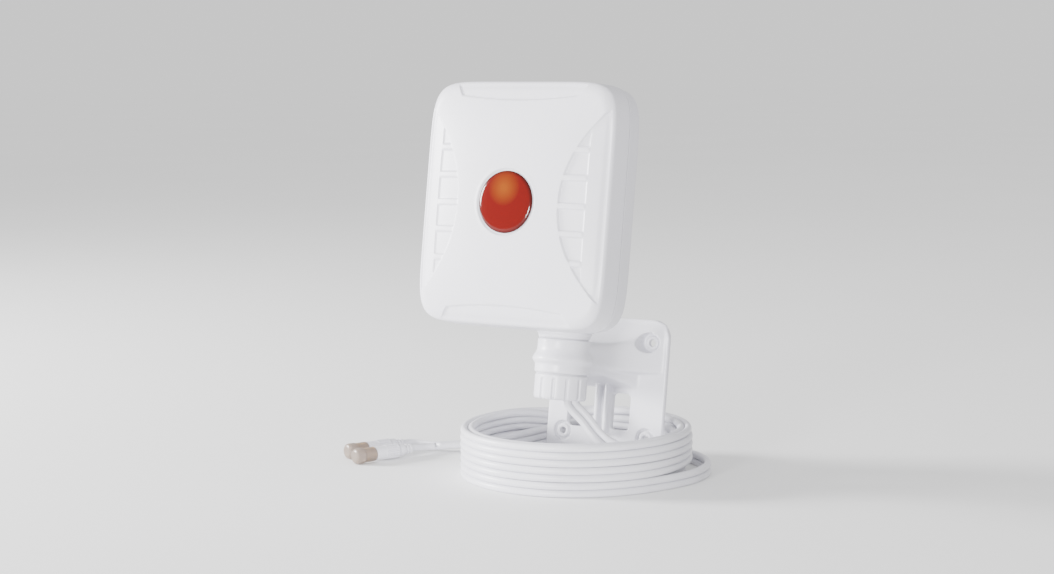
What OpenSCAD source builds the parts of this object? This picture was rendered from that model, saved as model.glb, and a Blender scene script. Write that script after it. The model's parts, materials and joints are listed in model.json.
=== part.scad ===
// Two-port panel antenna on a swivel neck, with its wall and pole bracket,
// its lock nut and a coiled twin lead that ends in two capped screw-on plugs.
// Lengths are in millimetres, +Z is up and the antenna faces -Y.
// The upright design stands on the foot of its wall plate and leans back by lean degrees.

/* [Stance] */
// Angle that the whole antenna leans back, about the foot of its wall plate
lean = 9; // [0:1:12]

/* [Housing] */
// Width of the housing at its seam
housing_w = 142; // [136:1:150]
// Height of the housing at its seam
housing_h = 160; // [154:1:170]
// How far the front crowns forward from its rim
crown = 8.9; // [4:0.1:10]
// Wall thickness of both shells
shell_wall = 2.6; // [2:0.1:3]
// Diameter of the round badge
badge_d = 40; // [30:1:44]

/* [Neck and lock nut] */
// Outer radius of the hollow stem that turns in the collar
stem_r = 13; // [12:0.5:13]
// Height of the lock nut
nut_h = 16.6; // [14:0.1:18]
// Outer radius of the lock nut
nut_r = 17.7; // [17.5:0.1:19]
// Number of grip flutes round the lock nut
flute_count = 12; // [8:1:14]

/* [Bracket] */
// Width of the wall plate
plate_w = 92; // [90:1:100]
// Distance between the screw holes, across and up
hole_pitch = 66; // [64:1:70]
// Diameter of the screw holes
screw_hole_d = 5.2; // [4:0.1:6]

/* [Twin lead] */
// Diameter of each strand of the lead
strand_d = 5; // [4:0.5:5]
// Outside diameter of the coil
coil_d = 160; // [156:1:164]
// Height of the coil
coil_h = 36; // [30:1:40]

/* [Hidden] */
$fn = 64;

white = "#e6e4ea";
white_shade = "#d6d4db";
metal = "#b9bbc0";
brass = "#b08d4f";
eps = 0.01;

// Running clearance of the stem in the collar and in the lock nut
running = 0.06;

// Upright design: z = 0 is the underside of the lock nut and the neck's axis is x = y = 0.
housing_z = 125;
seam_y = -57.5;
seam_gap = 0.5;
rim_y = -76.5;
back_y = -38.5;
half_w = housing_w / 2;
half_h = housing_h / 2;
outline_points = 64;
outline_power = 8;
edge_r = 4.5;
edge_draft = 1;
dome_start = edge_draft + edge_r;
back_r = 8;
recess_y = rim_y - 0.6 - crown + 0.8;
badge_y = recess_y - 1;

collar_bottom = nut_h + 0.8;
collar_top = 40.6;
flange_bottom = collar_top + 0.7;
flange_top = 45.6;
floor_top = flange_top + 2.8;

wall_y = 66.5;
plate_y = 62;
plate_top = 58.5;
plate_bottom = -46.7;
hole_z = 9.5;
fin_y = 55;
fin_in = 2.4;
fin_out = 5;
window_low = -19.5;
window_left = -30;
window_right = 19.8;

// Frame of the row: the foot rests on z = 0 and the antenna's box is centred on x = y = 0.
function leant(p) = [
    p[0],
    p[1] * cos(lean) + p[2] * sin(lean),
    -p[1] * sin(lean) + p[2] * cos(lean)
];
foot_drop = leant([0, wall_y, plate_bottom])[2];
front_points = [for (ring = dome_rings(0)) each ring];
lowest_y = min([for (p = front_points) leant(p)[1]]);
highest_y = leant([0, wall_y, plate_top])[1];
origin_y = (lowest_y + highest_y) / 2;

function stand(p) = leant(p) - [0, origin_y, foot_drop];

module standing()
    translate([0, -origin_y, -foot_drop])
        rotate([-lean, 0, 0])
            children();

// Solid through a list of rings with equal numbers of points: capped at both ends,
// or with its last ring joined to its first.
module loft(rings, closed = false) {
    n = len(rings[0]);
    m = len(rings);
    total = n * m;
    sides = [for (k = [0 : m - (closed ? 1 : 2)], i = [0 : n - 1])
        let (
            a = k * n + i,
            b = k * n + (i + 1) % n,
            c = (b + n) % total,
            d = (a + n) % total
        )
        each [[a, b, c], [a, c, d]]];
    caps = closed ? [] : [
        [for (i = [n - 1 : -1 : 0]) i],
        [for (i = [0 : n - 1]) (m - 1) * n + i]
    ];
    polyhedron(points = [for (r = rings) each r], faces = concat(sides, caps));
}

// ---- Housing -------------------------------------------------------------

// Rounded rectangle with slightly barrelled sides, inset from the seam's outline.
function power(v, e) = sign(v) * pow(abs(v), e);
function outline(inset, y) =
    let (s = 1 - inset / half_w)
    [for (i = [0 : outline_points - 1])
        let (t = 360 * (i + 0.5) / outline_points)
        [
            half_w * s * power(cos(t), 2 / outline_power),
            y,
            housing_z + half_h * s * power(sin(t), 2 / outline_power)
        ]];

// Crowned front, from the seam forward to its middle, inset by a wall.
function dome_y(inset) =
    let (s = (half_w - inset) / (half_w - dome_start))
    rim_y - 0.6 - crown * (1 - pow(s, 3));
function dome_rings(wall) = concat(
    [outline(wall, seam_y - seam_gap)],
    [for (a = [0 : 30 : 60])
        outline(
            edge_draft + edge_r * (1 - cos(a)) + wall,
            rim_y + edge_r * (1 - sin(a)) - 0.6 + wall
        )],
    [for (d = [dome_start, 14, 24, 34, 44, 54, 64]) outline(d + min(wall, 69 - d), dome_y(d) + wall)]
);

function reversed(list) = [for (i = [len(list) - 1 : -1 : 0]) list[i]];

// Places children at the housing screws, along +Y.
screw_x = 57;
screw_z = 65;
module at_screws(y)
    for (sx = [-1, 1], sz = [-1, 1])
        translate([sx * screw_x, y, housing_z + sz * screw_z])
            rotate([-90, 0, 0])
                children();

module front_radome()
    color(white)
        standing()
            difference() {
                union() {
                    loft(concat(reversed(dome_rings(0)), dome_rings(shell_wall)));
                    at_screws(rim_y - 0.5)
                        cylinder(r = 4, h = seam_y - seam_gap - rim_y + 0.5);
                }
                at_screws(-72)
                    cylinder(r = 1.5, h = 20);
                translate([0, recess_y, housing_z])
                    rotate([90, 0, 0])
                        cylinder(d = badge_d + 0.8, h = 5);
            }

// Tray that closes the back, with a rounded rear edge.
function tray_rings(wall) = concat(
    [outline(wall, seam_y + seam_gap)],
    [for (a = [0 : 30 : 90])
        outline(
            edge_draft * 0.6 + back_r * (1 - cos(a)) + wall,
            back_y - back_r * (1 - sin(a)) - wall
        )],
    [outline(60, back_y - wall)]
);

lead_hole_z = 76;
post_x = 40;
post_z = 50;
reflector_y = -52;

module rear_shell()
    color(white)
        standing()
            difference() {
                union() {
                    loft(concat(reversed(tray_rings(shell_wall)), tray_rings(0)));
                    at_screws(seam_y - seam_gap)
                        cylinder(r = 4.8, h = back_y - seam_y);
                    for (sx = [-1, 1], sz = [-1, 1])
                        translate([sx * post_x, reflector_y + 1, housing_z + sz * post_z])
                            rotate([-90, 0, 0])
                                cylinder(r = 3, h = back_y - reflector_y - 2);
                }
                at_screws(-70)
                    cylinder(r = 1.7, h = 40);
                at_screws(back_y - 6)
                    cylinder(r = 3.5, h = 10);
                translate([0, -50, lead_hole_z])
                    rotate([-90, 0, 0])
                        cylinder(r = 9, h = 20);
            }

module housing_gasket()
    color("#8d8f94")
        standing()
            loft([
                outline(0.8, seam_y - seam_gap),
                outline(0.8, seam_y + seam_gap),
                outline(shell_wall, seam_y + seam_gap),
                outline(shell_wall, seam_y - seam_gap)
            ], closed = true);

module housing_screws()
    color(metal)
        standing()
            at_screws(-71)
                screw(back_y - 6 + 71);

// Pan-head screw with its tip at z = 0 and the underside of its head at z = shank.
module screw(shank)
    difference() {
        union() {
            cylinder(r = 1.45, h = shank);
            translate([0, 0, shank])
                cylinder(r1 = 3.2, r2 = 2.6, h = 2.2);
        }
        for (a = [0, 90])
            rotate(a)
                translate([-1.8, -0.35, shank + 1])
                    cube([3.6, 0.7, 3]);
    }

// Blister on the back that holds the neck and leads the cables in.
neck_housing_r = 20;
module blister(wall)
    hull() {
        translate([0, 0, flange_top + wall])
            cylinder(r = neck_housing_r - wall, h = 27 - 2 * wall, $fn = 32);
        translate([-28 + wall, back_y, flange_top + wall])
            cube([56 - 2 * wall, 1, 78 - 2 * wall]);
    }

module neck_housing()
    color(white)
        standing()
            difference() {
                blister(0);
                difference() {
                    blister(2.8);
                    translate([-40, back_y - 1, flange_top])
                        cube([80, 1 + eps, 90]);
                }
                translate([-25, back_y - 1, flange_top + 2.8])
                    cube([50, 3, 72]);
                translate([0, 0, flange_top - 1])
                    cylinder(r = stem_r + running, h = 5);
            }

module badge_disc()
    color("#b4301c")
        standing()
            translate([0, recess_y, housing_z])
                rotate([90, 0, 0])
                    cylinder(d = badge_d, h = 1);

// Shallow clear cap with a flat back.
dome_edge = 0.3;
dome_rise = 1.6;
module badge_dome()
    color("#d2451f")
        standing()
            translate([0, badge_y, housing_z])
                rotate([90, 0, 0])
                    rotate_extrude()
                        polygon(concat(
                            [[0, 0], [badge_d / 2, 0]],
                            [for (a = [90 : -15 : 0])
                                [badge_d / 2 * sin(a), dome_edge + dome_rise * cos(a)]]
                        ));

// ---- Radiating parts -----------------------------------------------------

module sheet(size, thickness, y)
    translate([-size[0] / 2, y, housing_z - size[1] / 2])
        cube([size[0], thickness, size[1]]);

module reflector_plate()
    color(metal)
        standing()
            difference() {
                sheet([104, 122], 1, reflector_y);
                translate([0, reflector_y - 5, lead_hole_z])
                    rotate([-90, 0, 0])
                        cylinder(r = 8, h = 10);
            }

board_y = reflector_y - 1.6;
driven_y = -63.6;
parasitic_y = -70.6;
patch_t = 0.6;
probe_offset = 14;
spacer_offset = 26;

module feed_board()
    color("#3e7a4c")
        standing()
            sheet([96, 96], 1.6, board_y);

module along_y(x, z, low, high, r)
    translate([x, low, housing_z + z])
        rotate([-90, 0, 0])
            cylinder(r = r, h = high - low);

module feed_probes()
    color(brass)
        standing()
            for (s = [-1, 1])
                along_y(s * probe_offset, -probe_offset, driven_y + patch_t, board_y, 0.8);

module driven_patch()
    color(brass)
        standing()
            sheet([74, 74], patch_t, driven_y);

module parasitic_patch()
    color(metal)
        standing()
            sheet([66, 66], patch_t, parasitic_y);

module patch_spacers()
    color("#f2f2f2")
        standing()
            for (sx = [-1, 1], sz = [-1, 1]) {
                along_y(sx * spacer_offset, sz * spacer_offset, driven_y + patch_t, board_y, 2.5);
                along_y(sx * spacer_offset, sz * spacer_offset, parasitic_y + patch_t, driven_y, 2.5);
            }

// Two thin coaxial leads, up the stem and forward to the board.
inner_lead_r = 1.5;
inner_lead_x = 3.5;
grommet_top = 15;
module inner_leads()
    color("#2f3033")
        standing()
            for (s = [-1, 1])
                translate([s * inner_lead_x, 0, 0]) {
                    translate([0, 0, grommet_top])
                        cylinder(r = inner_lead_r, h = lead_hole_z - grommet_top);
                    translate([0, 0, lead_hole_z])
                        sphere(r = inner_lead_r);
                    translate([0, board_y + 1.6, lead_hole_z])
                        rotate([-90, 0, 0])
                            cylinder(r = inner_lead_r, h = -reflector_y);
                }

// ---- Neck and lock nut ---------------------------------------------------

stem_bore = 10;
stem_bottom = 4;
stem_top = 58;

module swivel_stem()
    color(white)
        standing()
            rotate_extrude()
                polygon([
                    [stem_bore, stem_bottom],
                    [stem_r - 0.6, stem_bottom],
                    [stem_r, stem_bottom + 0.6],
                    [stem_r, flange_bottom],
                    [17, flange_bottom],
                    [17.2, flange_bottom + 0.8],
                    [18.4, flange_top - 0.6],
                    [18.4, flange_top],
                    [stem_r, flange_top],
                    [stem_r, stem_top],
                    [stem_bore, stem_top]
                ]);

module ring(r_in, r_out, low, high)
    translate([0, 0, low])
        difference() {
            cylinder(r = r_out, h = high - low);
            translate([0, 0, -1])
                cylinder(r = r_in, h = high - low + 2);
        }

module stem_clip()
    color(metal)
        standing()
            ring(stem_r, 16.4, floor_top, floor_top + 1.8);

module friction_washer()
    color(white_shade)
        standing()
            ring(stem_r + 0.3, 16.8, collar_top, flange_bottom);

module slip_washer()
    color(white_shade)
        standing()
            ring(stem_r + 0.3, 17, nut_h, collar_bottom);

// Rubber plug in the foot of the stem; the lead leaves from its underside.
grommet_bottom = 1.5;
module cable_grommet()
    color("#3a3b3f")
        standing()
            union() {
                translate([0, 0, grommet_bottom])
                    cylinder(r = 12.4, h = stem_bottom - grommet_bottom);
                translate([0, 0, stem_bottom])
                    cylinder(r = stem_bore, h = grommet_top - stem_bottom);
            }

relief_h = 7;
relief_r = 15.2;
flute_r = 3;
module lock_nut()
    color(white)
        standing()
            difference() {
                rotate_extrude()
                    polygon([
                        [relief_r, 0],
                        [nut_r - 1.6, 0],
                        [nut_r - 0.5, 0.5],
                        [nut_r, 1.6],
                        [nut_r, nut_h - 0.6],
                        [nut_r - 0.6, nut_h],
                        [stem_r + running, nut_h],
                        [stem_r + running, relief_h],
                        [relief_r, relief_h - 1.5]
                    ]);
                for (i = [0 : flute_count - 1])
                    rotate(360 * (i + 0.5) / flute_count)
                        translate([nut_r + flute_r - 0.9, 0, -1])
                            cylinder(r = flute_r, h = nut_h - 2);
            }

// ---- Bracket -------------------------------------------------------------

// Square-cornered outline with round corners, as true arcs.
module rounded_rect(low, high, r)
    union() {
        translate([low[0] + r, low[1]])
            square([high[0] - low[0] - 2 * r, high[1] - low[1]]);
        translate([low[0], low[1] + r])
            square([high[0] - low[0], high[1] - low[1] - 2 * r]);
        for (x = [low[0] + r, high[0] - r], z = [low[1] + r, high[1] - r])
            translate([x, z])
                circle(r = r);
    }

// Extrudes a shape drawn in X and Z along Y, from y = low to y = high.
module across_y(low, high)
    translate([0, high, 0])
        rotate([90, 0, 0])
            linear_extrude(height = high - low)
                children();

module at_holes(y)
    for (sx = [-1, 1], sz = [-1, 1])
        translate([sx * hole_pitch / 2, y, hole_z + sz * hole_pitch / 2])
            rotate([-90, 0, 0])
                children();

// Arm from the collar to the plate: it flares sideways and upward as it nears the plate.
arm_stations = [4, 17, 25, 32, 38, 43, 48, 52, 55.5, 58.5, 61, 63.5];
function arm_section(y) =
    let (
        u = max(0, min(1, (y - 17) / 45)),
        w = min(17.5, 17 + 0.04 * y) + 25.5 * pow(u, 3.2),
        lower_w = 16.4 + 8 * pow(u, 3),
        top = collar_top - 0.4 + 15.4 * pow(u, 4.5),
        low = collar_bottom + 0.5 - 8 * u * u,
        ridge = 21.6 - u,
        half = [
            [lower_w - 2.5, low], [lower_w - 0.7, low + 0.7], [lower_w, low + 2.5],
            [lower_w, ridge], [w - 0.5, ridge + 1.8], [w, ridge + 3.4],
            [w, top - 4], [w - 1.2, top - 1.2], [w - 4, top]
        ]
    )
    concat(
        [for (p = half) [p[0], y, p[1]]],
        [for (p = reversed(half)) [-p[0], y, p[1]]]
    );

module collar_body()
    rotate_extrude()
        polygon([
            [8, collar_bottom], [18, collar_bottom], [18.4, collar_bottom + 0.6],
            [18.4, 23.6], [19, 24.3], [20.2, 25.6], [20.5, 27],
            [20, 28.5], [18.6, 30.4], [17.8, 32.2], [17.6, 34],
            [17.6, collar_top - 0.6], [17, collar_top], [8, collar_top]
        ]);

// Counterbore that leaves a raised ring round the screw hole.
module screw_recess()
    difference() {
        cylinder(r = 7, h = 22);
        translate([0, 0, 20.6])
            cylinder(r = 4.8, h = 3);
    }

module bracket()
    color(white)
        standing()
            difference() {
                union() {
                    across_y(plate_y, wall_y)
                        union() {
                            rounded_rect([-plate_w / 2, 0], [plate_w / 2, plate_top], 13);
                            rounded_rect(
                                [-plate_w / 2, plate_bottom], [plate_w / 2, 30], 6
                            );
                        }
                    for (s = [-1, 1])
                        translate([s > 0 ? fin_in : -fin_out, fin_y, window_low - 2.5])
                            cube([fin_out - fin_in, plate_y - fin_y + 1, 40]);
                    loft([for (y = arm_stations) arm_section(y)]);
                    collar_body();
                }
                translate([0, 0, collar_bottom - 1])
                    cylinder(r = stem_r + running, h = 40);
                at_holes(plate_y - 20)
                    screw_recess();
                at_holes(plate_y - 2)
                    cylinder(d = screw_hole_d, h = 10);
                across_y(plate_y - 1, wall_y + 1)
                    rounded_rect([fin_out + 0.4, window_low], [window_right, 6], 3);
                across_y(plate_y - 1, wall_y + 1)
                    rounded_rect([window_left, window_low], [-fin_out - 0.4, 9], 3);
            }

// ---- Twin lead -----------------------------------------------------------

coil_x = -5;
coil_y = 28;
coil_depth = 16;
coil_round = 4;
tube_r = 3.8;
tube_sides = 8;

// Where the lead runs, from the grommet to the inner face of the coil.
run_points = [
    stand([6, 4, grommet_bottom - 0.3]), stand([7, 5.5, -3]), [11, 4, 48],
    [16, 5, 43], [25, 5.5, 33.3], [35, 5, 27.5], [46, 5.5, 25], [56.2, 9.5, 24.5]
];
// Its last turn, which stands out from the coil on one side, and its loose end on
// the ground, up to where the strands part.
tail_points = [
    [65.2, -4.8, 5], [75.2, 21, 5], [79.1, 45.9, 5], [72.9, 73, 5], [54.6, 94.1, 5],
    [29.8, 106.1, 5], [3.6, 110, 5], [-19.1, 107.8, 5], [-38, 101, 5], [-58, 91.5, 5],
    [-86, 77, 5], [-108, 63, 5], [-123, 52, 5], [-133.4, 42.8, 4.6]
];
tail_r = 4.4;

// A smooth curve through a list of points.
function between(a, b, c, d, t) =
    0.5 * (2 * b + (c - a) * t + (2 * a - 5 * b + 4 * c - d) * t * t
        + (3 * b - a - 3 * c + d) * t * t * t);
function curve(p, steps) =
    let (n = len(p))
    concat(
        [for (k = [0 : n - 2], j = [0 : steps - 1])
            between(p[max(0, k - 1)], p[k], p[k + 1], p[min(n - 1, k + 2)], j / steps)],
        [p[n - 1]]
    );
function unit(v) = v / norm(v);

// Round tube along a path; the first ring can be turned to lie flat on what it leaves.
module tube(path, r, start = undef) {
    n = len(path);
    tangents = [for (i = [0 : n - 1])
        i == 0 && start != undef ? start
        : unit(path[min(n - 1, i + 1)] - path[max(0, i - 1)])];
    loft([for (i = [0 : n - 1])
        let (
            side = unit(cross(tangents[i], [-0.53, 0.84, 0.1])),
            up = cross(side, tangents[i])
        )
        [for (k = [0 : tube_sides - 1])
            path[i] + r * (side * cos(360 * k / tube_sides) + up * sin(360 * k / tube_sides))]]);
}

module lead_run()
    color(white)
        tube(curve(run_points, 2), tube_r, unit(leant([0, 0, -1])));

module lead_coil()
    color(white)
        translate([coil_x, coil_y, 0])
            rotate_extrude($fn = 96)
                rounded_rect([coil_d / 2 - coil_depth, 0], [coil_d / 2, coil_h], coil_round);

module lead_tail()
    color(white)
        tube(curve(tail_points, 3), tail_r);

// ---- Plugs ---------------------------------------------------------------

// Back end of each boot, and the way that its plug points.
plug_z = 5.8;
plug_ends = [[-156, 33.5, plug_z], [-139.8, 21.2, plug_z]];
plug_turn = 19;

module at_plug(side)
    translate(plug_ends[side])
        rotate([90, 0, -plug_turn])
            children();

strand_split = [[-134, 44, 4.6], [-132.6, 41.6, 4.6]];
strand_mids = [
    [[-142, 44.6, 4.8], [-149.6, 42.6, 5.2], [-154.2, 38.8, 5.7]],
    [[-136, 36.4, 4.8], [-137.8, 30.6, 5.2], [-138.8, 25.4, 5.7]]
];
module strand(side)
    color(white)
        tube(
            curve(concat([strand_split[side]], strand_mids[side], [plug_ends[side]]), 2),
            strand_d / 2 - 0.1
        );

boot_l = 12;
body_l = 38;
ring_l = 41;
nut_l = 32;
cap_l = 49;
body_r = 3;
ring_r = 4.2;

module boot(side)
    color(white)
        at_plug(side)
            rotate_extrude()
                polygon([
                    [0, 0], [3.2, 0], [3.5, 1], [3.5, 2.4], [3.1, 2.6], [3.1, 3.4],
                    [3.8, 3.6], [3.8, 5.2], [3.4, 5.4], [3.4, 6.2], [4.2, 6.4],
                    [4.4, 8], [4.4, boot_l], [0, boot_l]
                ]);

module plug_body(side)
    color(metal)
        at_plug(side)
            translate([0, 0, boot_l])
                cylinder(r = body_r, h = body_l - boot_l);

module contact_pin(side)
    color(brass)
        at_plug(side)
            translate([0, 0, body_l])
                cylinder(r1 = 0.5, r2 = 0.35, h = 3);

module thread_ring(side)
    color(brass)
        at_plug(side)
            difference() {
                translate([0, 0, nut_l])
                    cylinder(r = ring_r, h = ring_l - nut_l);
                translate([0, 0, nut_l - 1])
                    cylinder(r = body_r + 0.2, h = ring_l);
            }

// Grip that turns on the plug's body, ribbed over its back half.
nut_grip_r = 5;
module coupling_nut(side)
    color(white)
        at_plug(side)
            difference() {
                rotate_extrude()
                    polygon([
                        [body_r + running, boot_l + 0.3], [nut_grip_r - 0.5, boot_l + 0.3],
                        [nut_grip_r + 0.2, boot_l + 1], [nut_grip_r + 0.2, 23],
                        [nut_grip_r, 23.6], [nut_grip_r, nut_l - 0.4],
                        [nut_grip_r - 0.4, nut_l], [body_r + running, nut_l]
                    ]);
                for (i = [0 : 11])
                    rotate(30 * i)
                        translate([nut_grip_r + 0.5, 0, boot_l + 1.6])
                            cylinder(r = 0.8, h = 8);
            }

module dust_cap(side)
    color("#b59c86")
        at_plug(side)
            rotate_extrude()
                polygon([
                    [ring_r + 0.08, nut_l + 0.3], [5.4, nut_l + 0.3], [5.6, nut_l + 0.6],
                    [5.6, cap_l - 2.6], [5.1, cap_l - 1], [4, cap_l], [0, cap_l],
                    [0, ring_l + 1], [ring_r + 0.08, ring_l + 1]
                ]);

module left_strand() strand(0);
module left_boot() boot(0);
module left_plug_body() plug_body(0);
module left_contact_pin() contact_pin(0);
module left_thread_ring() thread_ring(0);
module left_coupling_nut() coupling_nut(0);
module left_dust_cap() dust_cap(0);
module right_strand() strand(1);
module right_boot() boot(1);
module right_plug_body() plug_body(1);
module right_contact_pin() contact_pin(1);
module right_thread_ring() thread_ring(1);
module right_coupling_nut() coupling_nut(1);
module right_dust_cap() dust_cap(1);

front_radome();
rear_shell();
neck_housing();
housing_gasket();
housing_screws();
badge_disc();
badge_dome();
reflector_plate();
feed_board();
feed_probes();
driven_patch();
parasitic_patch();
patch_spacers();
inner_leads();
swivel_stem();
stem_clip();
friction_washer();
cable_grommet();
bracket();
slip_washer();
lock_nut();
lead_run();
lead_coil();
lead_tail();
left_strand();
right_strand();
left_boot();
left_plug_body();
left_contact_pin();
left_thread_ring();
left_coupling_nut();
left_dust_cap();
right_boot();
right_plug_body();
right_contact_pin();
right_thread_ring();
right_coupling_nut();
right_dust_cap();
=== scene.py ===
"""Looks of the two-port panel antenna: housing, bracket, lock nut, coiled twin lead and plugs."""
import json
import math

import bmesh
import bpy
import numpy as np
from mathutils import Matrix, Vector


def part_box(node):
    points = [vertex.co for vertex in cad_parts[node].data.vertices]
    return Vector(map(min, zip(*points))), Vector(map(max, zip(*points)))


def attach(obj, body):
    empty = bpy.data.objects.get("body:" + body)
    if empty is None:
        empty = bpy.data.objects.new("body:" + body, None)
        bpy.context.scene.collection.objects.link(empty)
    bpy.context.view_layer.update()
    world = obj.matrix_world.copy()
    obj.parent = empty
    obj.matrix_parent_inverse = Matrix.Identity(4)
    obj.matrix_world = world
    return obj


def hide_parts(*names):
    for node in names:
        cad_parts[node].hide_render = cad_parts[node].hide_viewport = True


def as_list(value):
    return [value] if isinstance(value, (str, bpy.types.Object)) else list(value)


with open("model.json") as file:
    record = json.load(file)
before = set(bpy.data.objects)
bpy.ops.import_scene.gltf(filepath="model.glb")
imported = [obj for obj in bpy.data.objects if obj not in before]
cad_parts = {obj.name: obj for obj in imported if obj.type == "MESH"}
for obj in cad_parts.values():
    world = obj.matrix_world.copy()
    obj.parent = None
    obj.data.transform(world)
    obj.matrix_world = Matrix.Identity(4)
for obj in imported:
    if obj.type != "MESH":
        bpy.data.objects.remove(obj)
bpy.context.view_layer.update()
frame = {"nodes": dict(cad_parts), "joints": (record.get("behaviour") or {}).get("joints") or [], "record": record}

MM = 0.001
JOINT = {j["name"]: j for j in frame["joints"]}

# ---- Frames --------------------------------------------------------------
# The upright design: z = 0 under the lock nut, on the neck's axis. It leans back.
COLLAR_TOP = 40.6
AXIS_Z = np.array(JOINT["azimuth_swivel"]["axis"], float)
AXIS_X = np.array([1.0, 0.0, 0.0])
AXIS_Y = np.cross(AXIS_Z, AXIS_X)
START = np.array(JOINT["azimuth_swivel"]["pos_m"], float) - AXIS_Z * COLLAR_TOP * MM


def stand(points):
    """Upright design, mm, to the row frame, metres."""
    p = np.atleast_2d(np.asarray(points, float)) * MM
    return START + p[:, :1] * AXIS_X + p[:, 1:2] * AXIS_Y + p[:, 2:3] * AXIS_Z


COUPLING_AT = 22.0  # mm from a boot's back end to its coupling joint


def plug_frame(side):
    """Points along a plug, mm from its boot's back end, to the row frame."""
    j = JOINT[side + "_coupling_turn"]
    z = np.array(j["axis"], float)
    start = np.array(j["pos_m"], float) - z * COUPLING_AT * MM
    x = np.cross([0.0, 0.0, 1.0], z)
    x /= np.linalg.norm(x)
    y = np.cross(z, x)

    def place(points):
        p = np.atleast_2d(np.asarray(points, float)) * MM
        return start + p[:, :1] * x + p[:, 1:2] * y + p[:, 2:3] * z

    return place


# ---- Camera --------------------------------------------------------------
def camera():
    """Camera of the photograph, in the row frame."""
    data = bpy.data.cameras.new("camera")
    data.sensor_fit = "HORIZONTAL"
    data.sensor_width = 36.0
    data.lens = 69.22
    data.clip_end = 20.0
    obj = bpy.data.objects.new("camera", data)
    bpy.context.scene.collection.objects.link(obj)
    azimuth, elevation, roll = (math.radians(v) for v in (32.318, 6.403, -0.357))
    ahead = Vector((-math.sin(azimuth) * math.cos(elevation),
                    math.cos(azimuth) * math.cos(elevation), -math.sin(elevation)))
    right = Vector((math.cos(azimuth), math.sin(azimuth), 0))
    up = right.cross(ahead)
    across = right * math.cos(roll) + up * math.sin(roll)
    above = up * math.cos(roll) - right * math.sin(roll)
    turn = Matrix((across, above, -ahead)).transposed()
    obj.matrix_world = Matrix.Translation((0.6997, -1.1483, 0.2833)) @ turn.to_4x4()
    bpy.context.scene.camera = obj


camera()


# ---- Materials -----------------------------------------------------------
def material(name, base, other=None, rough=(0.35, 0.5), grain=400.0, bump=0.03,
             metallic=0.0, coat=0.0, blotch=25.0, painted_edge_highlight=None, **sockets):
    """Procedural surface: two tones, uneven gloss, fine bump and a painted highlight on convex edges."""
    m = bpy.data.materials.new(name)
    m.use_nodes = True
    nodes, links = m.node_tree.nodes, m.node_tree.links
    shader = nodes["Principled BSDF"]
    coords = nodes.new("ShaderNodeTexCoord")

    def noise(scale, detail=3.0):
        n = nodes.new("ShaderNodeTexNoise")
        n.inputs["Scale"].default_value = scale
        n.inputs["Detail"].default_value = detail
        links.new(coords.outputs["Object"], n.inputs["Vector"])
        return n.outputs["Fac"]

    def ramp(fac, low, high, a=0.35, b=0.65):
        r = nodes.new("ShaderNodeValToRGB")
        r.color_ramp.elements[0].position, r.color_ramp.elements[1].position = a, b
        r.color_ramp.elements[0].color = (*low, 1)
        r.color_ramp.elements[1].color = (*high, 1)
        links.new(fac, r.inputs["Fac"])
        return r.outputs["Color"]

    other = other or tuple(0.96 * c for c in base)
    color = ramp(noise(blotch), other, base)
    # Painted highlight: convex edges, picked out by pointiness, are mixed towards a lighter colour.
    if painted_edge_highlight:
        geometry = nodes.new("ShaderNodeNewGeometry")
        edge = ramp(geometry.outputs["Pointiness"], (0, 0, 0), (1, 1, 1), 0.53, 0.62)
        mix = nodes.new("ShaderNodeMixRGB")
        links.new(edge, mix.inputs["Fac"])
        links.new(color, mix.inputs["Color1"])
        mix.inputs["Color2"].default_value = (*painted_edge_highlight, 1)
        color = mix.outputs["Color"]
    links.new(color, shader.inputs["Base Color"])
    gloss = nodes.new("ShaderNodeMapRange")
    gloss.inputs["To Min"].default_value, gloss.inputs["To Max"].default_value = rough
    links.new(noise(blotch * 3), gloss.inputs["Value"])
    links.new(gloss.outputs["Result"], shader.inputs["Roughness"])
    if bump:
        b = nodes.new("ShaderNodeBump")
        b.inputs["Strength"].default_value = bump
        b.inputs["Distance"].default_value = 0.0004
        links.new(noise(grain, 6.0), b.inputs["Height"])
        links.new(b.outputs["Normal"], shader.inputs["Normal"])
    shader.inputs["Metallic"].default_value = metallic
    shader.inputs["Coat Weight"].default_value = coat
    for key, value in sockets.items():
        shader.inputs[key.replace("_", " ")].default_value = value
    return m


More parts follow.
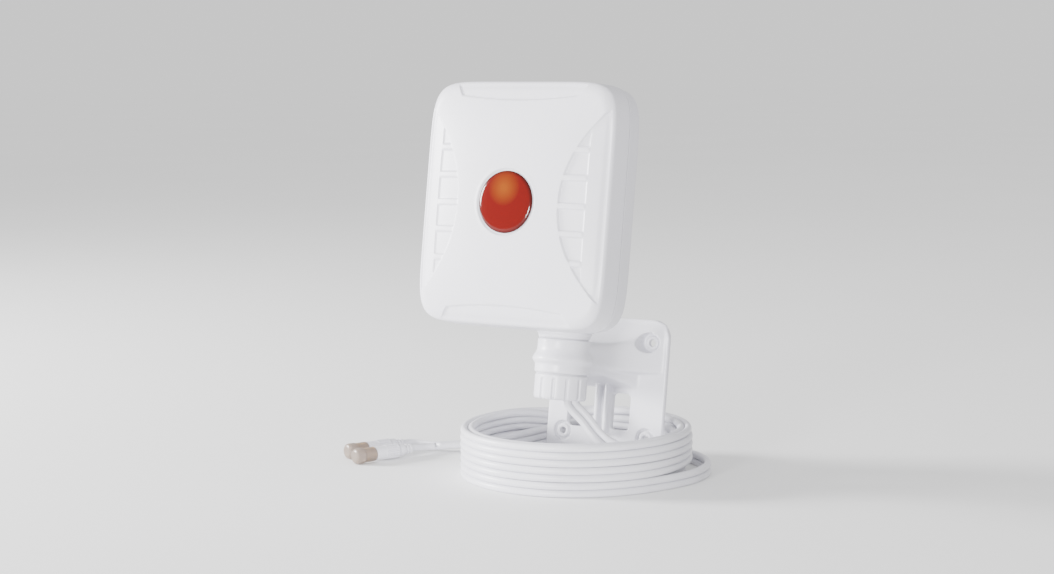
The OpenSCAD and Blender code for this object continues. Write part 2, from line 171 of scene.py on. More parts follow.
WHITE = (0.79, 0.78, 0.84)
MATERIALS = {
    # The housing and bracket plastics get a lighter painted highlight on their convex edges.
    "housing_plastic": material("housing_plastic", WHITE, (0.775, 0.77, 0.82), (0.34, 0.44), 900, 0.10,
                                painted_edge_highlight=(0.86, 0.86, 0.89)),
    "bracket_plastic": material("bracket_plastic", (0.78, 0.775, 0.82), (0.75, 0.745, 0.80),
                                (0.26, 0.38), 700, 0.08, painted_edge_highlight=(0.85, 0.85, 0.88)),
    "washer_plastic": material("washer_plastic", (0.66, 0.655, 0.70), rough=(0.5, 0.6)),
    "clear_plastic": material("clear_plastic", (0.80, 0.80, 0.78), rough=(0.4, 0.5)),
    "seal_rubber": material("seal_rubber", (0.40, 0.40, 0.43), rough=(0.6, 0.75), bump=0.1),
    "grommet_rubber": material("grommet_rubber", (0.03, 0.03, 0.034), (0.02, 0.02, 0.022),
                               (0.55, 0.7), 600, 0.15),
    "stainless_steel": material("stainless_steel", (0.60, 0.60, 0.62), rough=(0.25, 0.38), metallic=1.0),
    "aluminium_sheet": material("aluminium_sheet", (0.70, 0.71, 0.73), rough=(0.3, 0.45), metallic=1.0),
    "brass_sheet": material("brass_sheet", (0.62, 0.44, 0.20), rough=(0.3, 0.42), metallic=1.0),
    "circuit_board": material("circuit_board", (0.02, 0.16, 0.06), rough=(0.3, 0.4)),
    "coax_black": material("coax_black", (0.02, 0.02, 0.022), rough=(0.45, 0.6)),
    "badge_red": material("badge_red", (0.45, 0.035, 0.015), rough=(0.2, 0.3)),
    "lead_jacket": material("lead_jacket", (0.79, 0.785, 0.83), (0.75, 0.745, 0.795),
                            (0.30, 0.42), 500, 0.10),
    "plug_plastic": material("plug_plastic", (0.79, 0.785, 0.83), (0.75, 0.745, 0.79),
                             (0.32, 0.45), 900, 0.08),
    "plug_metal": material("plug_metal", (0.62, 0.61, 0.60), rough=(0.2, 0.32), metallic=1.0),
    "gold_plate": material("gold_plate", (0.72, 0.50, 0.20), (0.62, 0.42, 0.16), (0.2, 0.32), metallic=1.0),
    "cap_plastic": material("cap_plastic", (0.52, 0.43, 0.37), (0.46, 0.37, 0.31), (0.25, 0.38), 500, 0.05,
                            Transmission_Weight=0.55, IOR=1.45),
}


def badge_material():
    """Glossy red with a painted orange glow above its middle and a darker rim."""
    m = material("badge_gel", (0.2, 0.01, 0.005), rough=(0.08, 0.14), bump=0.0, coat=0.15,
                 Specular_IOR_Level=0.25)
    nodes, links = m.node_tree.nodes, m.node_tree.links
    shader = nodes["Principled BSDF"]
    coords = nodes.new("ShaderNodeTexCoord")
    low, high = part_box("badge_dome")
    middle = (low + high) / 2

    def ball(at, size):
        mapping = nodes.new("ShaderNodeMapping")
        mapping.inputs["Location"].default_value = [-a / size for a in at]
        mapping.inputs["Scale"].default_value = [1 / size] * 3
        links.new(coords.outputs["Object"], mapping.inputs["Vector"])
        g = nodes.new("ShaderNodeTexGradient")
        g.gradient_type = "SPHERICAL"
        links.new(mapping.outputs["Vector"], g.inputs["Vector"])
        return g.outputs["Fac"]

    rim = nodes.new("ShaderNodeValToRGB")
    rim.color_ramp.elements[0].color = (0.025, 0.001, 0.0006, 1)
    rim.color_ramp.elements[1].color = (0.115, 0.0022, 0.0006, 1)
    rim.color_ramp.elements[0].position, rim.color_ramp.elements[1].position = 0.13, 0.24
    links.new(ball(middle, 0.0235), rim.inputs["Fac"])
    # Painted glow: an orange patch, centred above the middle, mixed into the base colour in place of light.
    painted_glow = nodes.new("ShaderNodeValToRGB")
    painted_glow.color_ramp.elements[0].position, painted_glow.color_ramp.elements[1].position = 0.05, 0.85
    painted_glow.color_ramp.elements[0].color = (0, 0, 0, 1)
    painted_glow.color_ramp.elements[1].color = (1, 1, 1, 1)
    up = middle + Vector(AXIS_Z) * 0.009 - Vector((0.001, 0, 0))
    links.new(ball(up, 0.0125), painted_glow.inputs["Fac"])
    mix = nodes.new("ShaderNodeMixRGB")
    links.new(painted_glow.outputs["Color"], mix.inputs["Fac"])
    links.new(rim.outputs["Color"], mix.inputs["Color1"])
    mix.inputs["Color2"].default_value = (0.20, 0.042, 0.001, 1)
    links.new(mix.outputs["Color"], shader.inputs["Base Color"])
    return m


MATERIALS["badge_gel"] = badge_material()


# ---- Mesh helpers --------------------------------------------------------
def piece(name, points, faces, body, slot, replaces=(), smooth=30.0):
    """A mesh from points in the row frame; it rides on a body and takes a slot's finish."""
    mesh = bpy.data.meshes.new(name)
    mesh.from_pydata([tuple(p) for p in points], [], [tuple(f) for f in faces])
    b = bmesh.new()
    b.from_mesh(mesh)
    bmesh.ops.remove_doubles(b, verts=b.verts, dist=1e-7)
    bmesh.ops.recalc_face_normals(b, faces=b.faces)
    b.to_mesh(mesh)
    b.free()
    obj = bpy.data.objects.new(name, mesh)
    bpy.context.scene.collection.objects.link(obj)
    return finish_piece(obj, body, slot, replaces, smooth)


def finish_piece(obj, body, slot, replaces=(), smooth=30.0):
    """Shading, material, body and the CAD nodes it stands for; smooth 0 keeps the shading as it is."""
    if obj.type == "MESH" and smooth:
        obj.data.shade_smooth()
        for edge in sharp_edges(obj.data, math.radians(smooth)):
            obj.data.edges[edge].use_edge_sharp = True
    obj.data.materials.clear()
    obj.data.materials.append(MATERIALS[slot])
    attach(obj, body)
    if replaces:
        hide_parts(*replaces)
    return obj


def sharp_edges(mesh, angle):
    """Indices of the edges whose faces meet at more than an angle, in radians."""
    b = bmesh.new()
    b.from_mesh(mesh)
    found = [e.index for e in b.edges if len(e.link_faces) == 2 and e.calc_face_angle(0) > angle]
    b.free()
    return found


def ring_faces(rings, count, closed=True, caps=True, loop=False):
    """Faces that join rings of points; caps close both ends, loop joins the last ring to the first."""
    faces = []
    last = count if closed else count - 1
    for k in range(rings if loop else rings - 1):
        a, b = k * count, ((k + 1) % rings) * count
        for i in range(last):
            j = (i + 1) % count
            faces.append((a + i, a + j, b + j, b + i))
    if caps and not loop:
        faces.append(tuple(range(count - 1, -1, -1)))
        faces.append(tuple((rings - 1) * count + i for i in range(count)))
    return faces


def rounded(profile, r=0.35, steps=3, closed=False):
    """Rounds the corners of a profile of (radius, height) points."""
    out = []
    n = len(profile)
    for i, p in enumerate(profile):
        p = np.array(p, float)
        if not closed and i in (0, n - 1):
            out.append(p)
            continue
        a = np.array(profile[(i - 1) % n], float) - p
        b = np.array(profile[(i + 1) % n], float) - p
        la, lb = np.linalg.norm(a), np.linalg.norm(b)
        if la < 1e-6 or lb < 1e-6:
            out.append(p)
            continue
        d = min(r, 0.45 * la, 0.45 * lb)
        s, e = p + a / la * d, p + b / lb * d
        for t in np.linspace(0, 1, steps + 1):
            out.append((1 - t) ** 2 * s + 2 * t * (1 - t) * p + t * t * e)
    return np.array(out)


def lathe(profile, count=96, closed=False, shape=None):
    """Points and faces of a turned piece; shape(radius, height, angle) can change the radius."""
    angles = np.arange(count) * 2 * math.pi / count
    points = []
    for r, z in profile:
        radius = np.full(count, r) if shape is None else shape(r, z, angles)
        points.append(np.stack([radius * np.cos(angles), radius * np.sin(angles),
                                np.full(count, z)], 1))
    return np.concatenate(points), ring_faces(len(profile), count, loop=closed)


def cut(obj, cutters):
    """Takes closed meshes away from obj."""
    for points, faces in cutters:
        mesh = bpy.data.meshes.new("cutter")
        mesh.from_pydata([tuple(p) for p in points], [], faces)
        b = bmesh.new()
        b.from_mesh(mesh)
        bmesh.ops.recalc_face_normals(b, faces=b.faces)
        b.to_mesh(mesh)
        b.free()
        tool = bpy.data.objects.new("cutter", mesh)
        bpy.context.scene.collection.objects.link(tool)
        mod = obj.modifiers.new("cut", "BOOLEAN")
        mod.object, mod.operation, mod.solver = tool, "DIFFERENCE", "EXACT"
        apply(obj)
        bpy.data.objects.remove(tool)


def apply(obj):
    """Makes an object's modifiers part of its mesh."""
    graph = bpy.context.evaluated_depsgraph_get()
    mesh = bpy.data.meshes.new_from_object(obj.evaluated_get(graph), depsgraph=graph)
    obj.modifiers.clear()
    obj.data = mesh


def smoothstep(x, a, b):
    """0 below a, 1 above b and a soft rise between them."""
    t = np.clip((x - a) / (b - a), 0, 1)
    return t * t * (3 - 2 * t)


def spline(points, step):
    """A smooth curve through points, evenly spaced."""
    p = np.asarray(points, float)
    p = np.concatenate([[2 * p[0] - p[1]], p, [2 * p[-1] - p[-2]]])
    out = []
    for k in range(1, len(p) - 2):
        a, b, c, d = p[k - 1:k + 3]
        for t in np.linspace(0, 1, 24, endpoint=False):
            out.append(0.5 * (2 * b + (c - a) * t + (2 * a - 5 * b + 4 * c - d) * t ** 2
                              + (3 * b - a - 3 * c + d) * t ** 3))
    out.append(p[-2])
    return resample(np.array(out), step)


def resample(p, step):
    """The same line with points evenly spaced."""
    length = np.concatenate([[0], np.cumsum(np.linalg.norm(np.diff(p, axis=0), axis=1))])
    count = max(2, int(round(length[-1] / step)) + 1)
    s = np.linspace(0, length[-1], count)
    return np.stack([np.interp(s, length, p[:, k]) for k in range(p.shape[1])], 1)


# ---- Twin lead -----------------------------------------------------------
STRAND = 5.0
HALF = 2.46  # half the distance between the two strands
COIL = np.array([-5.0, 28.0])
RUN = np.concatenate([
    stand([[6, 4, 1.2], [7, 5.5, -3]]) / MM,
    [[11, 4, 48], [16, 5, 43], [25, 5.5, 33.3], [35, 5, 27.5], [46, 5.5, 25]],
])
TAIL = [[65.2, -4.8, 5], [75.2, 21, 5], [79.1, 45.9, 5], [72.9, 73, 5], [54.6, 94.1, 5],
        [29.8, 106.1, 5], [3.6, 110, 5], [-19.1, 107.8, 5], [-38, 101, 5], [-58, 91.5, 5],
        [-86, 77, 5], [-108, 63, 5], [-123, 52, 5], [-133.4, 42.8, 4.6]]
ENDS = {
    "left": [[-142, 44.6, 4.8], [-149.6, 42.6, 5.2], [-154.2, 38.8, 5.7], [-156, 33.5, 5.8]],
    "right": [[-136, 36.4, 4.8], [-137.8, 30.6, 5.2], [-138.8, 25.4, 5.7], [-139.8, 21.2, 5.8]],
}
# Each turn of the coil: its radius, its middle's height, and whether it stands on edge.
TURNS = [(67.6, 25, 1), (67.6, 15, 1), (67.6, 5, 1), (72.6, 5, 1), (72.6, 15, 1), (72.6, 25, 1),
         (74.8, 32.4, 0), (77.4, 25, 1), (77.4, 15, 1), (77.4, 5, 1)]
FIRST_TURN, LAST_TURN = 345.0, 3600.0 - 27.0
CROSS_FROM, CROSS_TO = 96.0, 162.0


def coil():
    """The coil's centreline and how far each point of it is turned on edge."""
    angles = np.arange(FIRST_TURN, LAST_TURN, 3.2)
    turns = np.array(TURNS, float)
    where = (angles - CROSS_FROM) / 360.0
    k = np.clip(np.floor(where).astype(int), 0, len(turns) - 1)
    t = smoothstep((angles - CROSS_FROM) % 360.0, 0, CROSS_TO - CROSS_FROM)
    before = np.clip(k - 1, 0, len(turns) - 1)
    state = turns[before] * (1 - t[:, None]) + turns[np.clip(k, 0, 9)] * t[:, None]
    first = angles < CROSS_FROM + 360
    state[first] = turns[0]
    a = np.radians(angles)
    wave = 0.28 * np.sin(2 * a + 1.7 * k) + 0.2 * np.sin(3 * a + 0.9 * k * k)
    radius = state[:, 0] + np.where(state[:, 0] > 77, -np.abs(wave), wave * 0.6)
    radius = radius - 0.9 * smoothstep(state[:, 1], 30, 32) * (0.5 + 0.5 * np.sin(a + 0.8))
    height = state[:, 1] + 0.25 * np.sin(a * 1.0 + 0.6) * smoothstep(state[:, 1], 8, 30)
    line = np.stack([COIL[0] + radius * np.cos(a), COIL[1] + radius * np.sin(a), height], 1)
    return line, state[:, 2]


def twin():
    """Both strands' lines, from the grommet to where they part."""
    ring, on_edge = coil()
    run = spline(np.concatenate([RUN, ring[:2] + [-1.5, 0, 0]]), 3.5)[:-3]
    tail = spline(TAIL, 4.0)
    line = np.concatenate([run, ring, tail])
    edge = np.concatenate([np.full(len(run), -1.0), on_edge, 1 - smoothstep(
        np.arange(len(tail)), len(tail) - 26, len(tail) - 4)])
    line[:len(run) + 2] = smooth_join(line, len(run) - 4, len(run) + 8)[:len(run) + 2]
    tangent = np.gradient(line, axis=0)
    tangent /= np.linalg.norm(tangent, axis=1)[:, None]
    up = np.array([0.0, 0.0, 1.0])
    first = np.array([0.85, 0.53, 0.0])
    across = []
    for i, t in enumerate(tangent):
        if edge[i] < 0:
            f = smoothstep(np.array(i / len(run)), 0.2, 1.0)
            w = first * (1 - f) + up * f
        else:
            side = np.cross(t, up)
            side /= np.linalg.norm(side)
            phi = edge[i] * math.pi / 2
            w = side * math.cos(phi) + np.cross(side, t) * math.sin(phi)
        w = w - t * (w @ t)
        across.append(w / np.linalg.norm(w))
    across = np.array(across)
    return line + across * HALF, line - across * HALF


def smooth_join(line, a, b):
    """A copy of a line, smoothed from point a to point b."""
    out = line.copy()
    for _ in range(6):
        out[a:b] = 0.5 * out[a:b] + 0.25 * (out[a - 1:b - 1] + out[a + 1:b + 1])
    return out


def strand(name, points, replaces):
    """One strand of the lead as a tube along its points, which are in mm."""
    curve = bpy.data.curves.new(name, "CURVE")
    curve.dimensions = "3D"
    curve.bevel_depth = STRAND / 2 * MM
    curve.bevel_resolution = 4
    curve.use_fill_caps = True
    s = curve.splines.new("POLY")
    s.points.add(len(points) - 1)
    s.points.foreach_set("co", np.c_[points * MM, np.ones(len(points))].ravel())
    s.use_smooth = True
    obj = bpy.data.objects.new(name, curve)
    bpy.context.scene.collection.objects.link(obj)
    curve.materials.append(MATERIALS["lead_jacket"])
    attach(obj, "bracket")
    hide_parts(*replaces)
    return obj


lines = dict(zip(("left", "right"), twin()))
STRANDS = {}
for side in ("left", "right"):
    end = spline(np.concatenate([lines[side][-2:], ENDS[side]]), 2.0)[2:]
    path = np.concatenate([lines[side], end])
    gone = ("lead_run", "lead_coil", "lead_tail", "left_strand") if side == "left" else ("right_strand",)
    STRANDS[side] = (strand(side + "_lead", path, gone), path)


# ---- Plugs ---------------------------------------------------------------
BOOT_L, BODY_L, RING_L, NUT_L, CAP_L = 12.0, 38.0, 41.0, 32.0, 49.0
BODY_R, RING_R, GRIP_R = 3.0, 4.2, 5.2
GRIP_END = 23.2  # where the ribs of the turning grip stop


def thread(r_out, low, high, pitch=0.9, depth=0.45, count=48):
    """A helical thread on a tube, as a grid round and along it."""
    rows = int((high - low) / pitch * 8)
    zs = np.linspace(low, high, rows)
    angles = np.arange(count) * 2 * math.pi / count
    points = []
    for z in zs:
        phase = (z / pitch - angles / (2 * math.pi)) % 1.0
        ridge = 1 - np.abs(phase * 2 - 1)
        fade = min(1.0, (z - low) / 0.6, (high - z) / 0.6)
        r = r_out - depth * (1 - ridge) * fade
        points.append(np.stack([r * np.cos(angles), r * np.sin(angles), np.full(count, z)], 1))
    inner = [np.stack([(BODY_R + 0.2) * np.cos(angles), (BODY_R + 0.2) * np.sin(angles),
                       np.full(count, z)], 1) for z in (high, low)]
    return np.concatenate(points + inner), ring_faces(rows + 2, count, loop=True)


def plug(side):
    """One plug: its boot, shank, turning grip, gold thread and dust cap."""
    place = plug_frame(side)

    def turned(name, profile, body, slot, replaces, count=72, closed=False, shape=None, r=0.3):
        points, faces = lathe(rounded(profile, r, closed=closed), count, closed, shape)
        return piece(side + "_" + name, place(points), faces, side + body if body[0] == "_" else body,
                     slot, replaces)

    boot = turned("strain_boot", [
        [0, 0], [2.9, 0], [3.3, 0.5], [3.4, 2.3], [2.9, 2.5], [2.9, 3.5], [3.7, 3.7], [3.8, 5.3],
        [3.2, 5.5], [3.2, 6.5], [4.2, 6.8], [4.5, 8.4], [4.5, BOOT_L - 0.4], [4.1, BOOT_L], [0, BOOT_L]],
        "bracket", "plug_plastic", (side + "_boot",))
    body = turned("plug_shank", [
        [0, BOOT_L], [BODY_R, BOOT_L], [BODY_R, BODY_L - 0.4], [BODY_R - 0.4, BODY_L],
        [1.9, BODY_L], [1.9, BODY_L - 3], [0, BODY_L - 3]], "bracket", "plug_metal", (side + "_plug_body",))

    def ribbed(r, z, angles):
        rib = 0.5 + 0.5 * np.cos(12 * angles)
        z = np.array(z)
        along = smoothstep(z, BOOT_L + 1.0, BOOT_L + 2.2)
        along = along * (1 - smoothstep(z, GRIP_END - 1.0, GRIP_END + 0.2))
        return r - 0.62 * along * (1 - smoothstep(rib, 0.08, 0.5)) * (r > 4.5)

    grip_low = [[BODY_R + 0.06, BOOT_L + 0.3], [GRIP_R - 0.6, BOOT_L + 0.3], [GRIP_R, BOOT_L + 0.9]]
    grip = [[GRIP_R, z] for z in np.linspace(BOOT_L + 1.2, GRIP_END, 16)]
    nose = [[GRIP_R - 0.25, GRIP_END + 0.5], [GRIP_R - 0.25, NUT_L - 0.4], [GRIP_R - 0.6, NUT_L],
            [BODY_R + 0.06, NUT_L]]
    nut = turned("coupling_grip", grip_low + grip + nose, "_coupling_nut", "plug_plastic",
                 (side + "_coupling_nut",), 144, True, ribbed, 0.15)
    points, faces = thread(RING_R, NUT_L, RING_L)
    gold = piece(side + "_gold_thread", place(points), faces, side + "_coupling_nut", "gold_plate",
                 (side + "_thread_ring",), 50)
    cap = turned("cap", [
        [RING_R + 0.08, NUT_L + 0.3], [5.0, NUT_L + 0.3], [5.15, NUT_L + 0.8], [5.15, CAP_L - 7.5],
        [5.5, CAP_L - 7.0], [5.6, CAP_L - 6.2], [5.6, CAP_L - 2.2], [5.0, CAP_L - 0.7], [3.6, CAP_L],
        [0, CAP_L],
        [0, RING_L + 1], [RING_R + 0.08, RING_L + 1]], "_dust_cap", "cap_plastic", (side + "_dust_cap",),
        96, False, None, 0.4)
    return [boot, body, nut, gold, cap, frame["nodes"][side + "_contact_pin"]]


for side in ("left", "right"):
    obj, path = STRANDS[side]
    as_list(plug(side))


# ---- Housing -------------------------------------------------------------
HALF_W, HALF_H, MID_Z = 71.0, 80.0, 125.0
SEAM, RIM, BACK = -57.5, -76.5, -38.5
CROWN, EDGE, DRAFT = 8.9, 4.5, 1.0
POWER = 8.0  # squareness of the housing's outline
AROUND = 720
STEP = 0.6  # mm that the covers' seam edges and the crown's foot are set back
SCREW_X, SCREW_Z, SCREW_R = 57, 65, 3.6
BACK_EDGE = 8


def outline():
    """Directions to evenly spaced points of the housing's outline, scaled to its seam."""
    a = np.linspace(0, 2 * math.pi, 14401)[:-1]
    r = (np.abs(np.cos(a) / HALF_W) ** POWER + np.abs(np.sin(a) / HALF_H) ** POWER) ** (-1 / POWER)
    p = np.stack([r * np.cos(a), r * np.sin(a)], 1)
    p = np.concatenate([p, p[:1]])
    return resample(p, np.linalg.norm(np.diff(p, axis=0), axis=1).sum() / AROUND)[:-1]


OUTLINE = outline()


def band(inset, y):
    """A ring of the housing, in from its seam outline."""
    p = OUTLINE * (1 - inset / HALF_W)
    return np.stack([p[:, 0], np.full(len(p), float(y)), p[:, 1] + MID_Z], 1)


RUNGS = np.array([160.0, 142.0, 124.0, 106.5, 88.0]) - MID_Z


def relief(x, z):
    """How deep the front's moulded pattern lies under its crown, in mm; z from the middle."""
    ax, az = np.abs(x), np.abs(z)
    arc = 38 + 28 * (az / 60) ** 2.1
    inside = smoothstep(ax - arc, -0.4, 0.5)
    facet = smoothstep(ax, 55.1, 56.2)
    rung = np.zeros_like(x)
    for k in RUNGS:
        rung = np.maximum(rung, 1 - smoothstep(np.abs(z - k), 1.4, 2.3))
    cell = inside * (1 - facet) * (1 - rung)
    bar = inside * (1 - facet) * rung
    slope = inside * facet * (0.55 + 0.14 * np.clip(ax - 56, 0, 12))
    ends = 66 + 3.0 * (ax / 44) ** 2 + 9.0 * smoothstep(ax, 43, 51.5)
    end = smoothstep(az - ends, -0.4, 0.5) * (ax < 56)
    return 1.35 * cell + 0.25 * bar + slope + 1.15 * end


def crown(x, z):
    """How far the front cover bulges out, in mm."""
    u, v = np.abs(x) / HALF_W, np.abs(z) / HALF_H
    return CROWN * (1 - u ** 2.5) * (1 - v ** 2.7)


def front():
    """Crowned front cover with its moulded pattern and the seat for the badge."""
    rings = [band(3.0, SEAM - 0.25), band(0.25, SEAM - 0.25), band(0.0, SEAM - STEP)]
    for t in np.linspace(0.08, 1, 8):
        rings.append(band(DRAFT * t, SEAM - STEP + (RIM + EDGE - STEP - SEAM + STEP) * t))
    for a in np.radians(np.arange(10, 91, 10)):
        rings.append(band(DRAFT + EDGE * (1 - math.cos(a)), RIM + EDGE * (1 - math.sin(a)) - STEP))
    start = len(rings) - 5
    for d in np.concatenate([np.arange(DRAFT + EDGE + STEP, 70.4, 0.62), [70.7]]):
        rings.append(band(d, RIM - STEP))
    points = np.concatenate(rings)
    x, z = points[:, 0], points[:, 2] - MID_Z
    inset = HALF_W * (1 - ((np.abs(x) / HALF_W) ** POWER + (np.abs(z) / HALF_H) ** POWER) ** (1 / POWER))
    facing = np.arange(len(points)) >= start * AROUND
    raised = crown(x, z) * smoothstep(inset, 1.0, 7.0)
    sunk = relief(x, z) * smoothstep(inset, 1.8, 4.6)
    points[:, 1] -= np.where(facing, raised - sunk, 0)
    # A ring pressed into the crown round the badge
    r = np.hypot(x, z)
    seat = np.where(r < 20.9, 1.0, 0.0) + np.where(r >= 20.9, 1 - smoothstep(r, 20.9, 21.7), 0)
    lip = np.exp(-((r - 22.3) / 0.9) ** 2) * 0.25
    deep = points[:, 1] * (1 - seat) + (BADGE_Y + 0.3) * seat - lip
    points[:, 1] = np.where(facing & (r < 26), deep, points[:, 1])
    faces = ring_faces(len(rings), AROUND)
    return piece("front_cover", stand(points), faces, "head", "housing_plastic", ("front_radome",), 35)


BADGE_Y = RIM - STEP - CROWN + 0.8
front()


def badge():
    """Low, clear dome in the middle of the front."""
    profile = [[20.0, 0.0], [20.0, 0.5]]
    for a in np.radians(np.arange(84, -1, -6)):
        profile.append([19.4 * math.sin(a) if a > 0 else 0.001, 0.75 + 1.5 * math.cos(a)])
    points, faces = lathe([[0.001, 0.0]] + profile, 160)
    flat = np.stack([points[:, 0], BADGE_Y - points[:, 2], points[:, 1] + MID_Z], 1)
    return piece("badge_gel_dome", stand(flat), faces, "head", "badge_gel", ("badge_disc", "badge_dome"), 50)


badge()


def back():
    """Back cover with its four screw recesses."""
    rings = [band(3.0, SEAM + 0.25), band(0.25, SEAM + 0.25), band(0.0, SEAM + STEP)]
    for t in np.linspace(0.15, 1, 5):
        rings.append(band(STEP * t, SEAM + STEP + (BACK - BACK_EDGE - SEAM - STEP) * t))
    for a in np.radians(np.arange(9, 91, 9)):
        rings.append(band(STEP + BACK_EDGE * (1 - math.cos(a)), BACK - BACK_EDGE * (1 - math.sin(a))))
    for d in np.arange(10, 70, 4.0):
        rings.append(band(d, BACK))
    points = np.concatenate(rings)
    obj = piece("rear_cover", stand(points), ring_faces(len(rings), AROUND), "head", "housing_plastic")
    cutters = []
    for sx in (-SCREW_X, SCREW_X):
        for sz in (-SCREW_Z, SCREW_Z):
            p, f = lathe([[0.001, 0], [SCREW_R, 0], [SCREW_R, 12], [0.001, 12]], 48)
            cutters.append((stand(np.stack([p[:, 0] + sx, p[:, 2] + BACK - 6, p[:, 1] + MID_Z + sz], 1)), f))
    cut(obj, cutters)
    return finish_piece(obj, "head", "housing_plastic", ("rear_shell",), 35)


back()


def neck_cover():
    """Rounded blister that rises out of the back and ends over the neck."""
    count, rows = 96, 40
    rings = []
    t = np.linspace(0, math.pi, count)
    for k in range(rows):
        f = k / (rows - 1)
        z = 45.7 + 78 * f
        reach = 58.5 * (1 - smoothstep(np.array(f), 0.28, 1.12)) ** 0.9
        width = 25.5 + 2.5 * f - 5 * smoothstep(np.array(f), 0.7, 1.05)
        edge = 1 - 0.05 * max(0.0, 1 - k / 3.0) ** 2
        x = width * edge * np.sign(np.cos(t)) * np.abs(np.cos(t)) ** 0.62
        y = BACK - 0.4 + reach * edge * np.sin(t) ** 0.72
        rings.append(np.stack([x, y, np.full(count, z)], 1))
    base = rings[0].copy()
    base[:, 0] *= 0.9
    base[:, 1] = BACK - 0.4 + (base[:, 1] - BACK + 0.4) * 0.93
    rings.insert(0, base)
    points = np.concatenate(rings)
    return piece("neck_cover", stand(points), ring_faces(len(rings), count), "head", "housing_plastic",
                 ("neck_housing",), 40)


neck_cover()


# ---- Neck and lock nut ---------------------------------------------------
def turned_part(name, profile, body, slot, replaces, count=160, shape=None, r=0.4):
    """A ring-shaped piece on the neck's axis."""
    points, faces = lathe(rounded(profile, r, closed=True), count, True, shape)
    return piece(name, stand(points), faces, body, slot, replaces, 40)


turned_part("neck", [
    [10, 4], [12.5, 4], [13, 4.6], [13, 41.3], [17, 41.3], [17.3, 41.8], [17.5, 43.2], [18.3, 44.2],
    [18.4, 45.6], [13, 45.6], [13, 58], [10, 58]], "head", "housing_plastic", ("swivel_stem",))
turned_part("top_ring", [
    [13.3, 40.62], [16.6, 40.62], [16.8, 40.8], [16.8, 41.1], [16.6, 41.28], [13.3, 41.28]],
            "head", "washer_plastic", ("friction_washer",), r=0.1)
turned_part("bottom_ring", [
    [13.3, 16.62], [16.8, 16.62], [17, 16.8], [17, 17.2], [16.8, 17.38], [13.3, 17.38]],
            "nut_carrier", "washer_plastic", ("slip_washer",), r=0.1)


def fluted(r, z, angles):
    """The lock nut's radius, with its twelve grip flutes."""
    wave = np.cos(12 * angles)
    groove = smoothstep(-wave, 0.45, 0.95)
    along = 1 - smoothstep(np.array(z), 13.2, 15.0)
    return r - 1.0 * groove * along * (r > 15.9)


nut_side = [[17.7, z] for z in np.linspace(1.8, 15.9, 22)]
turned_part("grip_nut", [[16.0, 0.0], [16.5, 0.0], [17.2, 0.5]] + nut_side
            + [[17.2, 16.6], [13.06, 16.6], [13.06, 7], [15.3, 5.5], [15.3, 1.4]],
            "lock_nut", "bracket_plastic", ("lock_nut",), 288, fluted, 0.5)


# ---- Bracket -------------------------------------------------------------
PLATE_Y, WALL_Y = 62.0, 66.5
FIN_INNER, FIN_OUTER = 2.4, 5.0
HOLE_X, HOLE_Z = 33.0, (42.5, -23.5)
HOLE_R, RECESS_R, LIP_R = 2.6, 7.0, 4.8
COLLAR = [  # the collar's section as (radius, height)
    [8, 17.4], [17.7, 17.4], [18.4, 18.0], [18.4, 23.7], [19, 24.3], [20.2, 25.6], [20.5, 27],
    [20, 28.5], [18.7, 30.4], [17.9, 32.2], [17.6, 34], [17.6, 40.0], [17.1, 40.6], [8, 40.6],
]


def prism(shape, low, high):
    """A closed solid: an outline in x and z, drawn out along y."""
    shape = np.asarray(shape, float)
    a = np.stack([shape[:, 0], np.full(len(shape), low), shape[:, 1]], 1)
    b = np.stack([shape[:, 0], np.full(len(shape), high), shape[:, 1]], 1)
    return np.concatenate([a, b]), ring_faces(2, len(shape))


def rounded_box(x0, x1, z0, z1, radii, steps=10):
    """Outline of a rectangle; radii for its corners, from top right round by the left."""
    corners = [(x1, z1, 0, radii[0]), (x0, z1, 90, radii[1]),
               (x0, z0, 180, radii[2]), (x1, z0, 270, radii[3])]
    out = []
    for x, z, turn, r in corners:
        sx, sz = (-1 if x == x1 else 1), (-1 if z == z1 else 1)
        for a in np.radians(turn + np.linspace(0, 90, steps)):
            out.append([x + sx * r + r * math.cos(a), z + sz * r + r * math.sin(a)])
    return out


def arm():
    """The arm, from inside the collar to inside the plate, flared like a horn."""
    rings = []
    for y in np.concatenate([np.linspace(4, 50, 32), np.linspace(51, 64, 22)]):
        u = min(max((y - 17) / 45, 0), 1.02)
        w = min(17.5, 17 + 0.04 * y) + 25.5 * u ** 3.2
        lower = 16.4 + 8 * u ** 3
        top = 40.2 + 15.4 * u ** 4.5
        low = 17.9 - 8 * u * u
        ridge = 21.6 - u
        side = [[lower - 2.5, low], [lower - 0.7, low + 0.7], [lower, low + 2.5], [lower, ridge - 0.3],
                [w - 0.6, ridge + 1.2], [w, ridge + 2.8], [w, top - 4.5], [w - 1.3, top - 1.3],
                [w - 4.5, top]]
        half = rounded(side, 1.6, 4)
        left = half[::-1] * [-1, 1]
        shape = np.concatenate([half, left])
        rings.append(np.stack([shape[:, 0], np.full(len(shape), y), shape[:, 1]], 1))
    return np.concatenate(rings), ring_faces(len(rings), len(rings[0]))


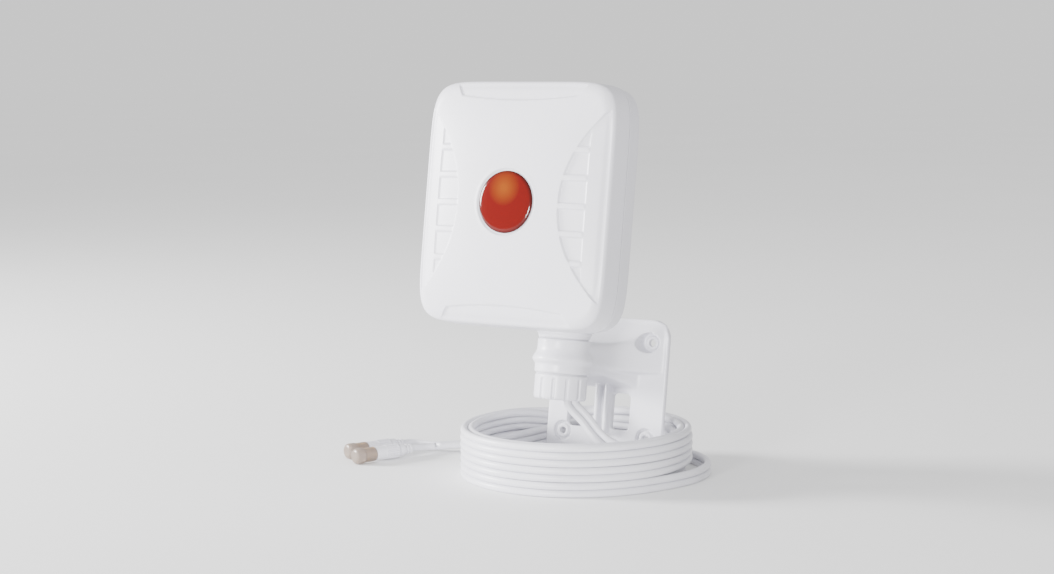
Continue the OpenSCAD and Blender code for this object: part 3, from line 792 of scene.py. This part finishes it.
def bracket():
    """Collar, arm and wall plate, melted into one moulding."""
    solids = [
        prism(rounded_box(-46, 46, -46.7, 58.5, (13, 13, 6, 6)), PLATE_Y, WALL_Y),
        prism(rounded_box(-FIN_OUTER, -FIN_INNER, -22, 18, (0.2,) * 4, 3), 55, PLATE_Y + 1),
        prism(rounded_box(FIN_INNER, FIN_OUTER, -22, 18, (0.2,) * 4, 3), 55, PLATE_Y + 1),
        arm(),
        lathe(rounded(COLLAR, 0.5, closed=True), 160, True),
    ]
    points, faces, at = [], [], 0
    for p, f in solids:
        points.append(p)
        faces += [tuple(i + at for i in face) for face in f]
        at += len(p)
    obj = piece("wall_bracket", stand(np.concatenate(points)), faces, "bracket", "bracket_plastic")
    remesh(obj, 0.7)
    soften(obj, 3)
    cutters = [prism(rounded_box(5.4, 19.8, -19.5, 6, (3,) * 4), PLATE_Y - 1, WALL_Y + 1),
               prism(rounded_box(-30, -5.4, -19.5, 9, (3,) * 4), PLATE_Y - 1, WALL_Y + 1),
               lathe([[0.001, 10], [13.06, 10], [13.06, 50], [0.001, 50]], 160)]
    for sx in (-HOLE_X, HOLE_X):
        for z in HOLE_Z:
            for profile in ([[0.001, 40], [RECESS_R, 40], [RECESS_R, 64], [LIP_R, 64], [LIP_R, 62.6],
                             [0.001, 62.6]],
                            [[0.001, 55], [HOLE_R, 55], [HOLE_R, 70], [0.001, 70]]):
                p, f = lathe(profile, 64)
                cutters.append((np.stack([p[:, 0] + sx, p[:, 2], p[:, 1] + z], 1), f))
    cut(obj, [(stand(p), f) for p, f in cutters])
    remesh(obj, 0.5)
    soften(obj, 3)
    return finish_piece(obj, "bracket", "bracket_plastic", ("bracket",), 0)


def remesh(obj, size):
    """One skin over everything, at a size in mm."""
    mod = obj.modifiers.new("remesh", "REMESH")
    mod.mode, mod.voxel_size = "VOXEL", size * MM
    apply(obj)


def soften(obj, times):
    """Rounds the remeshed corners."""
    mod = obj.modifiers.new("soften", "SMOOTH")
    mod.factor, mod.iterations = 0.5, times
    apply(obj)
    obj.data.shade_smooth()


bracket()

# ---- Carried-over CAD nodes ----------------------------------------------
SLOT = {s["node"]: s["material_slot"] for s in frame["record"]["subparts"]}
for name, node in frame["nodes"].items():
    node.data.materials.clear()
    node.data.materials.append(MATERIALS[SLOT[name]])


# ---- Studio --------------------------------------------------------------
def softbox(name, azimuth, elevation, distance, width, power):
    """A square area light aimed at the middle of the antenna; azimuth 0 is straight in front."""
    a, e = math.radians(azimuth), math.radians(elevation)
    light = bpy.data.lights.new(name, "AREA")
    light.size, light.energy = width, power
    obj = bpy.data.objects.new(name, light)
    bpy.context.scene.collection.objects.link(obj)
    away = Vector((math.sin(a) * math.cos(e), -math.cos(a) * math.cos(e), math.sin(e)))
    obj.location = Vector((0, 0, 0.12)) + away * distance
    obj.rotation_euler = (-away).to_track_quat("-Z", "Y").to_euler()


def studio():
    """Pale floor, even sky and two soft lights."""
    half = 30.0
    mesh = bpy.data.meshes.new("floor")
    mesh.from_pydata([(-half, -half, 0), (half, -half, 0), (half, half, 0), (-half, half, 0)],
                     [], [(0, 1, 2, 3)])
    floor = bpy.data.objects.new("floor", mesh)
    bpy.context.scene.collection.objects.link(floor)
    m = material("floor", (0.93, 0.93, 0.93), (0.915, 0.915, 0.915), (0.75, 0.85), bump=0.0, blotch=2.0,
                 Specular_IOR_Level=0.0)
    shader = m.node_tree.nodes["Principled BSDF"]
    shader.inputs["Emission Color"].default_value = (1, 1, 1, 1)
    shader.inputs["Emission Strength"].default_value = 0.075
    mesh.materials.append(m)
    world = bpy.data.worlds.new("studio")
    world.use_nodes = True
    sky = world.node_tree.nodes["Background"]
    sky.inputs["Color"].default_value = (1, 1, 1, 1)
    sky.inputs["Strength"].default_value = 1.05
    bpy.context.scene.world = world
    softbox("key", -66, 14, 2.0, 0.5, 105)
    softbox("low_front", 4, 3, 2.2, 0.45, 66)


studio()
